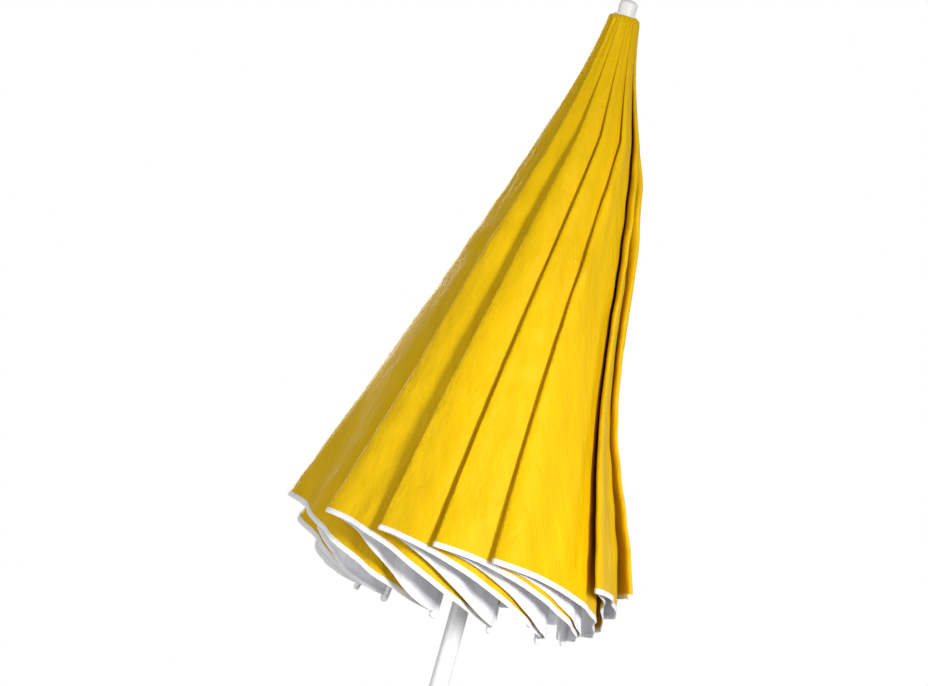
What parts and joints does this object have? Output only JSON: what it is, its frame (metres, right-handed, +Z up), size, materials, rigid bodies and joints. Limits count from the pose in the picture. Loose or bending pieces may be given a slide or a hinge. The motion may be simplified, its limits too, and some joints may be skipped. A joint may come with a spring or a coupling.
{
  "type": "beach umbrella",
  "caption": "Folded beach umbrella with a wrapped fabric canopy, swinging ribs and stretchers, a runner, and a tilting telescopic pole with a pointed ground end.",
  "frame": {"origin": "the tip of the pole's pointed ground end, on the pole's axis", "axes": "+Z up along the pole, -Y towards the clamp knob and the runner's button, +X towards which the head tilts"},
  "size_m": [0.5522, 0.5989, 2.038],
  "materials": {
    "canopy_fabric": "woven polyester, satin outside, white coated inside",
    "hem_tape": "folded woven tape, stitched",
    "white_coated_steel": "white powder coat",
    "white_plastic": "moulded, satin",
    "zinc_steel": "bright zinc"
  },
  "bodies": {
    "lower_pole": {"lower_pole": "white_coated_steel", "clamp_collar": "white_plastic"},
    "clamp_knob": {"clamp_knob": "white_plastic"},
    "middle_pole": {"middle_pole": "white_coated_steel", "tilt_pin": "zinc_steel"},
    "head": {"upper_pole": "white_coated_steel", "hub": "white_plastic", "hub_pins": "zinc_steel", "finial": "white_plastic"},
    "runner": {"runner": "white_plastic", "runner_pins": "zinc_steel"},
    "runner_button": {"runner_button": "white_plastic"},
    "rib_01": {"rib_01": "white_coated_steel"},
    "stretcher_01": {"stretcher_01": "zinc_steel"},
    "gore_outer_01": {"gore_outer_01": "canopy_fabric"},
    "gore_inner_01": {"gore_inner_01": "canopy_fabric"},
    "rib_02": {"rib_02": "white_coated_steel"},
    "stretcher_02": {"stretcher_02": "zinc_steel"},
    "gore_outer_02": {"gore_outer_02": "canopy_fabric"},
    "gore_inner_02": {"gore_inner_02": "canopy_fabric"},
    "rib_03": {"rib_03": "white_coated_steel"},
    "stretcher_03": {"stretcher_03": "zinc_steel"},
    "gore_outer_03": {"gore_outer_03": "canopy_fabric"},
    "gore_inner_03": {"gore_inner_03": "canopy_fabric"},
    "rib_04": {"rib_04": "white_coated_steel"},
    "stretcher_04": {"stretcher_04": "zinc_steel"},
    "gore_outer_04": {"gore_outer_04": "canopy_fabric"},
    "gore_inner_04": {"gore_inner_04": "canopy_fabric"},
    "rib_05": {"rib_05": "white_coated_steel"},
    "stretcher_05": {"stretcher_05": "zinc_steel"},
    "gore_outer_05": {"gore_outer_05": "canopy_fabric"},
    "gore_inner_05": {"gore_inner_05": "canopy_fabric"},
    "rib_06": {"rib_06": "white_coated_steel"},
    "stretcher_06": {"stretcher_06": "zinc_steel"},
    "gore_outer_06": {"gore_outer_06": "canopy_fabric"},
    "gore_inner_06": {"gore_inner_06": "canopy_fabric"},
    "rib_07": {"rib_07": "white_coated_steel"},
    "stretcher_07": {"stretcher_07": "zinc_steel"},
    "gore_outer_07": {"gore_outer_07": "canopy_fabric"},
    "gore_inner_07": {"gore_inner_07": "canopy_fabric"},
    "rib_08": {"rib_08": "white_coated_steel"},
    "stretcher_08": {"stretcher_08": "zinc_steel"},
    "gore_outer_08": {"gore_outer_08": "canopy_fabric"},
    "gore_inner_08": {"gore_inner_08": "canopy_fabric"},
    "rib_09": {"rib_09": "white_coated_steel"},
    "stretcher_09": {"stretcher_09": "zinc_steel"},
    "gore_outer_09": {"gore_outer_09": "canopy_fabric"},
    "gore_inner_09": {"gore_inner_09": "canopy_fabric"},
    "rib_10": {"rib_10": "white_coated_steel"},
    "stretcher_10": {"stretcher_10": "zinc_steel"},
    "gore_outer_10": {"gore_outer_10": "canopy_fabric"},
    "gore_inner_10": {"gore_inner_10": "canopy_fabric"},
    "rib_11": {"rib_11": "white_coated_steel"},
    "stretcher_11": {"stretcher_11": "zinc_steel"},
    "gore_outer_11": {"gore_outer_11": "canopy_fabric"},
    "gore_inner_11": {"gore_inner_11": "canopy_fabric"},
    "rib_12": {"rib_12": "white_coated_steel"},
    "stretcher_12": {"stretcher_12": "zinc_steel"},
    "gore_outer_12": {"gore_outer_12": "canopy_fabric"},
    "gore_inner_12": {"gore_inner_12": "canopy_fabric"}
  },
  "joints": [
    {"name": "pole_height", "type": "slide", "parent": "lower_pole", "child": "middle_pole", "axis": [0, 0, 1], "range_m": [-0.25, 0.1]},
    {"name": "clamp_knob_turn", "type": "hinge", "parent": "lower_pole", "child": "clamp_knob", "pos_m": [0, -0.035, 0.732], "axis": [0, -1, 0], "range_deg": [0, 360]},
    {"name": "tilt", "type": "hinge", "parent": "middle_pole", "child": "head", "pos_m": [0, 0, 1.08], "axis": [0, 1, 0], "range_deg": [0, 35]},
    {"name": "canopy_opening", "type": "hinge", "parent": "head", "child": "rib_01", "pos_m": [-0.00472, -0.01892, 2], "axis": [-0.9703, 0.2419, 0], "range_deg": [0, 66]},
    {"name": "stretcher_01_swing", "type": "hinge", "parent": "rib_01", "child": "stretcher_01", "pos_m": [-0.02061, -0.08267, 1.58517], "axis": [-0.9703, 0.2419, 0], "range_deg": [-132, 0]},
    {"name": "gore_outer_01_unfold", "type": "hinge", "parent": "rib_01", "child": "gore_outer_01", "pos_m": [-0.00472, -0.01892, 2], "axis": [-0.0378, -0.1518, -0.9877], "range_deg": [-28.19, 0], "deforming": ["gore_outer_01"]},
    {"name": "gore_inner_01_unfold", "type": "hinge", "parent": "rib_12", "child": "gore_inner_01", "pos_m": [-0.01355, -0.01403, 2], "axis": [-0.1087, -0.1125, -0.9877], "range_deg": [-143.21, 0], "deforming": ["gore_inner_01"]},
    {"name": "rib_02_swing", "type": "hinge", "parent": "head", "child": "rib_02", "pos_m": [0.00537, -0.01874, 2], "axis": [-0.9613, -0.2756, 0], "range_deg": [0, 66]},
    {"name": "stretcher_02_swing", "type": "hinge", "parent": "rib_02", "child": "stretcher_02", "pos_m": [0.02348, -0.0819, 1.58517], "axis": [-0.9613, -0.2756, 0], "range_deg": [-132, 0]},
    {"name": "gore_outer_02_unfold", "type": "hinge", "parent": "rib_02", "child": "gore_outer_02", "pos_m": [0.00537, -0.01874, 2], "axis": [0.0431, -0.1504, -0.9877], "range_deg": [-7.5, 0], "deforming": ["gore_outer_02"]},
    {"name": "gore_inner_02_unfold", "type": "hinge", "parent": "rib_01", "child": "gore_inner_02", "pos_m": [-0.00472, -0.01892, 2], "axis": [-0.0378, -0.1518, -0.9877], "range_deg": [-157.43, 0], "deforming": ["gore_inner_02"]},
    {"name": "rib_03_swing", "type": "hinge", "parent": "head", "child": "rib_03", "pos_m": [0.01403, -0.01355, 2], "axis": [-0.6947, -0.7193, 0], "range_deg": [0, 66]},
    {"name": "stretcher_03_swing", "type": "hinge", "parent": "rib_03", "child": "stretcher_03", "pos_m": [0.06129, -0.05919, 1.58517], "axis": [-0.6947, -0.7193, 0], "range_deg": [-132, 0]},
    {"name": "gore_outer_03_unfold", "type": "hinge", "parent": "rib_03", "child": "gore_outer_03", "pos_m": [0.01403, -0.01355, 2], "axis": [0.1125, -0.1087, -0.9877], "range_deg": [-33.93, 0], "deforming": ["gore_outer_03"]},
    {"name": "gore_inner_03_unfold", "type": "hinge", "parent": "rib_02", "child": "gore_inner_03", "pos_m": [0.00537, -0.01874, 2], "axis": [0.0431, -0.1504, -0.9877], "range_deg": [-141.43, 0], "deforming": ["gore_inner_03"]},
    {"name": "rib_04_swing", "type": "hinge", "parent": "head", "child": "rib_04", "pos_m": [0.01892, -0.00472, 2], "axis": [-0.2419, -0.9703, 0], "range_deg": [0, 66]},
    {"name": "stretcher_04_swing", "type": "hinge", "parent": "rib_04", "child": "stretcher_04", "pos_m": [0.08267, -0.02061, 1.58517], "axis": [-0.2419, -0.9703, 0], "range_deg": [-132, 0]},
    {"name": "gore_outer_04_unfold", "type": "hinge", "parent": "rib_04", "child": "gore_outer_04", "pos_m": [0.01892, -0.00472, 2], "axis": [0.1518, -0.0378, -0.9877], "range_deg": [-52.21, 0], "deforming": ["gore_outer_04"]},
    {"name": "gore_inner_04_unfold", "type": "hinge", "parent": "rib_03", "child": "gore_inner_04", "pos_m": [0.01403, -0.01355, 2], "axis": [0.1125, -0.1087, -0.9877], "range_deg": [-139.95, 0], "deforming": ["gore_inner_04"]},
    {"name": "rib_05_swing", "type": "hinge", "parent": "head", "child": "rib_05", "pos_m": [0.01874, 0.00537, 2], "axis": [0.2756, -0.9613, 0], "range_deg": [0, 66]},
    {"name": "stretcher_05_swing", "type": "hinge", "parent": "rib_05", "child": "stretcher_05", "pos_m": [0.0819, 0.02348, 1.58517], "axis": [0.2756, -0.9613, 0], "range_deg": [-132, 0]},
    {"name": "gore_outer_05_unfold", "type": "hinge", "parent": "rib_05", "child": "gore_outer_05", "pos_m": [0.01874, 0.00537, 2], "axis": [0.1504, 0.0431, -0.9877], "range_deg": [-67.74, 0], "deforming": ["gore_outer_05"]},
    {"name": "gore_inner_05_unfold", "type": "hinge", "parent": "rib_04", "child": "gore_inner_05", "pos_m": [0.01892, -0.00472, 2], "axis": [0.1518, -0.0378, -0.9877], "range_deg": [-143.53, 0], "deforming": ["gore_inner_05"]},
    {"name": "rib_06_swing", "type": "hinge", "parent": "head", "child": "rib_06", "pos_m": [0.01355, 0.01403, 2], "axis": [0.7193, -0.6947, 0], "range_deg": [0, 66]},
    {"name": "stretcher_06_swing", "type": "hinge", "parent": "rib_06", "child": "stretcher_06", "pos_m": [0.05919, 0.06129, 1.58517], "axis": [0.7193, -0.6947, 0], "range_deg": [-132, 0]},
    {"name": "gore_outer_06_unfold", "type": "hinge", "parent": "rib_06", "child": "gore_outer_06", "pos_m": [0.01355, 0.01403, 2], "axis": [0.1087, 0.1125, -0.9877], "range_deg": [-54.47, 0], "deforming": ["gore_outer_06"]},
    {"name": "gore_inner_06_unfold", "type": "hinge", "parent": "rib_05", "child": "gore_inner_06", "pos_m": [0.01874, 0.00537, 2], "axis": [0.1504, 0.0431, -0.9877], "range_deg": [-155.88, 0], "deforming": ["gore_inner_06"]},
    {"name": "rib_07_swing", "type": "hinge", "parent": "head", "child": "rib_07", "pos_m": [0.00472, 0.01892, 2], "axis": [0.9703, -0.2419, 0], "range_deg": [0, 66]},
    {"name": "stretcher_07_swing", "type": "hinge", "parent": "rib_07", "child": "stretcher_07", "pos_m": [0.02061, 0.08267, 1.58517], "axis": [0.9703, -0.2419, 0], "range_deg": [-132, 0]},
    {"name": "gore_outer_07_unfold", "type": "hinge", "parent": "rib_07", "child": "gore_outer_07", "pos_m": [0.00472, 0.01892, 2], "axis": [0.0378, 0.1518, -0.9877], "range_deg": [-19.18, 0], "deforming": ["gore_outer_07"]},
    {"name": "gore_inner_07_unfold", "type": "hinge", "parent": "rib_06", "child": "gore_inner_07", "pos_m": [0.01355, 0.01403, 2], "axis": [0.1087, 0.1125, -0.9877], "range_deg": [-200.39, 0], "deforming": ["gore_inner_07"]},
    {"name": "rib_08_swing", "type": "hinge", "parent": "head", "child": "rib_08", "pos_m": [-0.00537, 0.01874, 2], "axis": [0.9613, 0.2756, 0], "range_deg": [0, 66]},
    {"name": "stretcher_08_swing", "type": "hinge", "parent": "rib_08", "child": "stretcher_08", "pos_m": [-0.02348, 0.0819, 1.58517], "axis": [0.9613, 0.2756, 0], "range_deg": [-132, 0]},
    {"name": "gore_outer_08_unfold", "type": "hinge", "parent": "rib_08", "child": "gore_outer_08", "pos_m": [-0.00537, 0.01874, 2], "axis": [-0.0431, 0.1504, -0.9877], "range_deg": [-20, 0], "deforming": ["gore_outer_08"]},
    {"name": "gore_inner_08_unfold", "type": "hinge", "parent": "rib_07", "child": "gore_inner_08", "pos_m": [0.00472, 0.01892, 2], "axis": [0.0378, 0.1518, -0.9877], "range_deg": [-184.83, 0], "deforming": ["gore_inner_08"]},
    {"name": "rib_09_swing", "type": "hinge", "parent": "head", "child": "rib_09", "pos_m": [-0.01403, 0.01355, 2], "axis": [0.6947, 0.7193, 0], "range_deg": [0, 66]},
    {"name": "stretcher_09_swing", "type": "hinge", "parent": "rib_09", "child": "stretcher_09", "pos_m": [-0.06129, 0.05919, 1.58517], "axis": [0.6947, 0.7193, 0], "range_deg": [-132, 0]},
    {"name": "gore_outer_09_unfold", "type": "hinge", "parent": "rib_09", "child": "gore_outer_09", "pos_m": [-0.01403, 0.01355, 2], "axis": [-0.1125, 0.1087, -0.9877], "range_deg": [-11.17, 0], "deforming": ["gore_outer_09"]},
    {"name": "gore_inner_09_unfold", "type": "hinge", "parent": "rib_08", "child": "gore_inner_09", "pos_m": [-0.00537, 0.01874, 2], "axis": [-0.0431, 0.1504, -0.9877], "range_deg": [-168.98, 0], "deforming": ["gore_inner_09"]},
    {"name": "rib_10_swing", "type": "hinge", "parent": "head", "child": "rib_10", "pos_m": [-0.01892, 0.00472, 2], "axis": [0.2419, 0.9703, 0], "range_deg": [0, 66]},
    {"name": "stretcher_10_swing", "type": "hinge", "parent": "rib_10", "child": "stretcher_10", "pos_m": [-0.08267, 0.02061, 1.58517], "axis": [0.2419, 0.9703, 0], "range_deg": [-132, 0]},
    {"name": "gore_outer_10_unfold", "type": "hinge", "parent": "rib_10", "child": "gore_outer_10", "pos_m": [-0.01892, 0.00472, 2], "axis": [-0.1518, 0.0378, -0.9877], "range_deg": [-7.5, 0], "deforming": ["gore_outer_10"]},
    {"name": "gore_inner_10_unfold", "type": "hinge", "parent": "rib_09", "child": "gore_inner_10", "pos_m": [-0.01403, 0.01355, 2], "axis": [-0.1125, 0.1087, -0.9877], "range_deg": [-157.43, 0], "deforming": ["gore_inner_10"]},
    {"name": "rib_11_swing", "type": "hinge", "parent": "head", "child": "rib_11", "pos_m": [-0.01874, -0.00537, 2], "axis": [-0.2756, 0.9613, 0], "range_deg": [0, 66]},
    {"name": "stretcher_11_swing", "type": "hinge", "parent": "rib_11", "child": "stretcher_11", "pos_m": [-0.0819, -0.02348, 1.58517], "axis": [-0.2756, 0.9613, 0], "range_deg": [-132, 0]},
    {"name": "gore_outer_11_unfold", "type": "hinge", "parent": "rib_11", "child": "gore_outer_11", "pos_m": [-0.01874, -0.00537, 2], "axis": [-0.1504, -0.0431, -0.9877], "range_deg": [-7.5, 0], "deforming": ["gore_outer_11"]},
    {"name": "gore_inner_11_unfold", "type": "hinge", "parent": "rib_10", "child": "gore_inner_11", "pos_m": [-0.01892, 0.00472, 2], "axis": [-0.1518, 0.0378, -0.9877], "range_deg": [-157.43, 0], "deforming": ["gore_inner_11"]},
    {"name": "rib_12_swing", "type": "hinge", "parent": "head", "child": "rib_12", "pos_m": [-0.01355, -0.01403, 2], "axis": [-0.7193, 0.6947, 0], "range_deg": [0, 66]},
    {"name": "stretcher_12_swing", "type": "hinge", "parent": "rib_12", "child": "stretcher_12", "pos_m": [-0.05919, -0.06129, 1.58517], "axis": [-0.7193, 0.6947, 0], "range_deg": [-132, 0]},
    {"name": "gore_outer_12_unfold", "type": "hinge", "parent": "rib_12", "child": "gore_outer_12", "pos_m": [-0.01355, -0.01403, 2], "axis": [-0.1087, -0.1125, -0.9877], "range_deg": [-15.56, 0], "deforming": ["gore_outer_12"]},
    {"name": "gore_inner_12_unfold", "type": "hinge", "parent": "rib_11", "child": "gore_inner_12", "pos_m": [-0.01874, -0.00537, 2], "axis": [-0.1504, -0.0431, -0.9877], "range_deg": [-150.3, 0], "deforming": ["gore_inner_12"]},
    {"name": "runner_travel", "type": "hinge", "parent": "stretcher_01", "child": "runner", "pos_m": [-0.00472, -0.01892, 1.17034], "axis": [-0.9703, 0.2419, 0], "range_deg": [0, 66]},
    {"name": "runner_button_press", "type": "slide", "parent": "runner", "child": "runner_button", "axis": [0, 1, 0], "range_m": [0, 0.0018], "stiffness_N_per_m": 400}
  ],
  "couplings": [
    {"joint": "stretcher_01_swing", "follows": "canopy_opening", "ratio": -2},
    {"joint": "gore_outer_01_unfold", "follows": "canopy_opening", "ratio": -0.41949},
    {"joint": "gore_inner_01_unfold", "follows": "canopy_opening", "ratio": -2.1622},
    {"joint": "rib_02_swing", "follows": "canopy_opening", "ratio": 1},
    {"joint": "stretcher_02_swing", "follows": "canopy_opening", "ratio": -2},
    {"joint": "gore_outer_02_unfold", "follows": "canopy_opening", "ratio": -0.1061},
    {"joint": "gore_inner_02_unfold", "follows": "canopy_opening", "ratio": -2.3778},
    {"joint": "rib_03_swing", "follows": "canopy_opening", "ratio": 1},
    {"joint": "stretcher_03_swing", "follows": "canopy_opening", "ratio": -2},
    {"joint": "gore_outer_03_unfold", "follows": "canopy_opening", "ratio": -0.50654},
    {"joint": "gore_inner_03_unfold", "follows": "canopy_opening", "ratio": -2.1353},
    {"joint": "rib_04_swing", "follows": "canopy_opening", "ratio": 1},
    {"joint": "stretcher_04_swing", "follows": "canopy_opening", "ratio": -2},
    {"joint": "gore_outer_04_unfold", "follows": "canopy_opening", "ratio": -0.78348},
    {"joint": "gore_inner_04_unfold", "follows": "canopy_opening", "ratio": -2.1128},
    {"joint": "rib_05_swing", "follows": "canopy_opening", "ratio": 1},
    {"joint": "stretcher_05_swing", "follows": "canopy_opening", "ratio": -2},
    {"joint": "gore_outer_05_unfold", "follows": "canopy_opening", "ratio": -1.0189},
    {"joint": "gore_inner_05_unfold", "follows": "canopy_opening", "ratio": -2.1671},
    {"joint": "rib_06_swing", "follows": "canopy_opening", "ratio": 1},
    {"joint": "stretcher_06_swing", "follows": "canopy_opening", "ratio": -2},
    {"joint": "gore_outer_06_unfold", "follows": "canopy_opening", "ratio": -0.81775},
    {"joint": "gore_inner_06_unfold", "follows": "canopy_opening", "ratio": -2.3542},
    {"joint": "rib_07_swing", "follows": "canopy_opening", "ratio": 1},
    {"joint": "stretcher_07_swing", "follows": "canopy_opening", "ratio": -2},
    {"joint": "gore_outer_07_unfold", "follows": "canopy_opening", "ratio": -0.28309},
    {"joint": "gore_inner_07_unfold", "follows": "canopy_opening", "ratio": -3.0286},
    {"joint": "rib_08_swing", "follows": "canopy_opening", "ratio": 1},
    {"joint": "stretcher_08_swing", "follows": "canopy_opening", "ratio": -2},
    {"joint": "gore_outer_08_unfold", "follows": "canopy_opening", "ratio": -0.29543},
    {"joint": "gore_inner_08_unfold", "follows": "canopy_opening", "ratio": -2.7929},
    {"joint": "rib_09_swing", "follows": "canopy_opening", "ratio": 1},
    {"joint": "stretcher_09_swing", "follows": "canopy_opening", "ratio": -2},
    {"joint": "gore_outer_09_unfold", "follows": "canopy_opening", "ratio": -0.16162},
    {"joint": "gore_inner_09_unfold", "follows": "canopy_opening", "ratio": -2.5528},
    {"joint": "rib_10_swing", "follows": "canopy_opening", "ratio": 1},
    {"joint": "stretcher_10_swing", "follows": "canopy_opening", "ratio": -2},
    {"joint": "gore_outer_10_unfold", "follows": "canopy_opening", "ratio": -0.1061},
    {"joint": "gore_inner_10_unfold", "follows": "canopy_opening", "ratio": -2.3778},
    {"joint": "rib_11_swing", "follows": "canopy_opening", "ratio": 1},
    {"joint": "stretcher_11_swing", "follows": "canopy_opening", "ratio": -2},
    {"joint": "gore_outer_11_unfold", "follows": "canopy_opening", "ratio": -0.1061},
    {"joint": "gore_inner_11_unfold", "follows": "canopy_opening", "ratio": -2.3778},
    {"joint": "rib_12_swing", "follows": "canopy_opening", "ratio": 1},
    {"joint": "stretcher_12_swing", "follows": "canopy_opening", "ratio": -2},
    {"joint": "gore_outer_12_unfold", "follows": "canopy_opening", "ratio": -0.22819},
    {"joint": "gore_inner_12_unfold", "follows": "canopy_opening", "ratio": -2.2697},
    {"joint": "runner_travel", "follows": "canopy_opening", "ratio": 1}
  ]
}
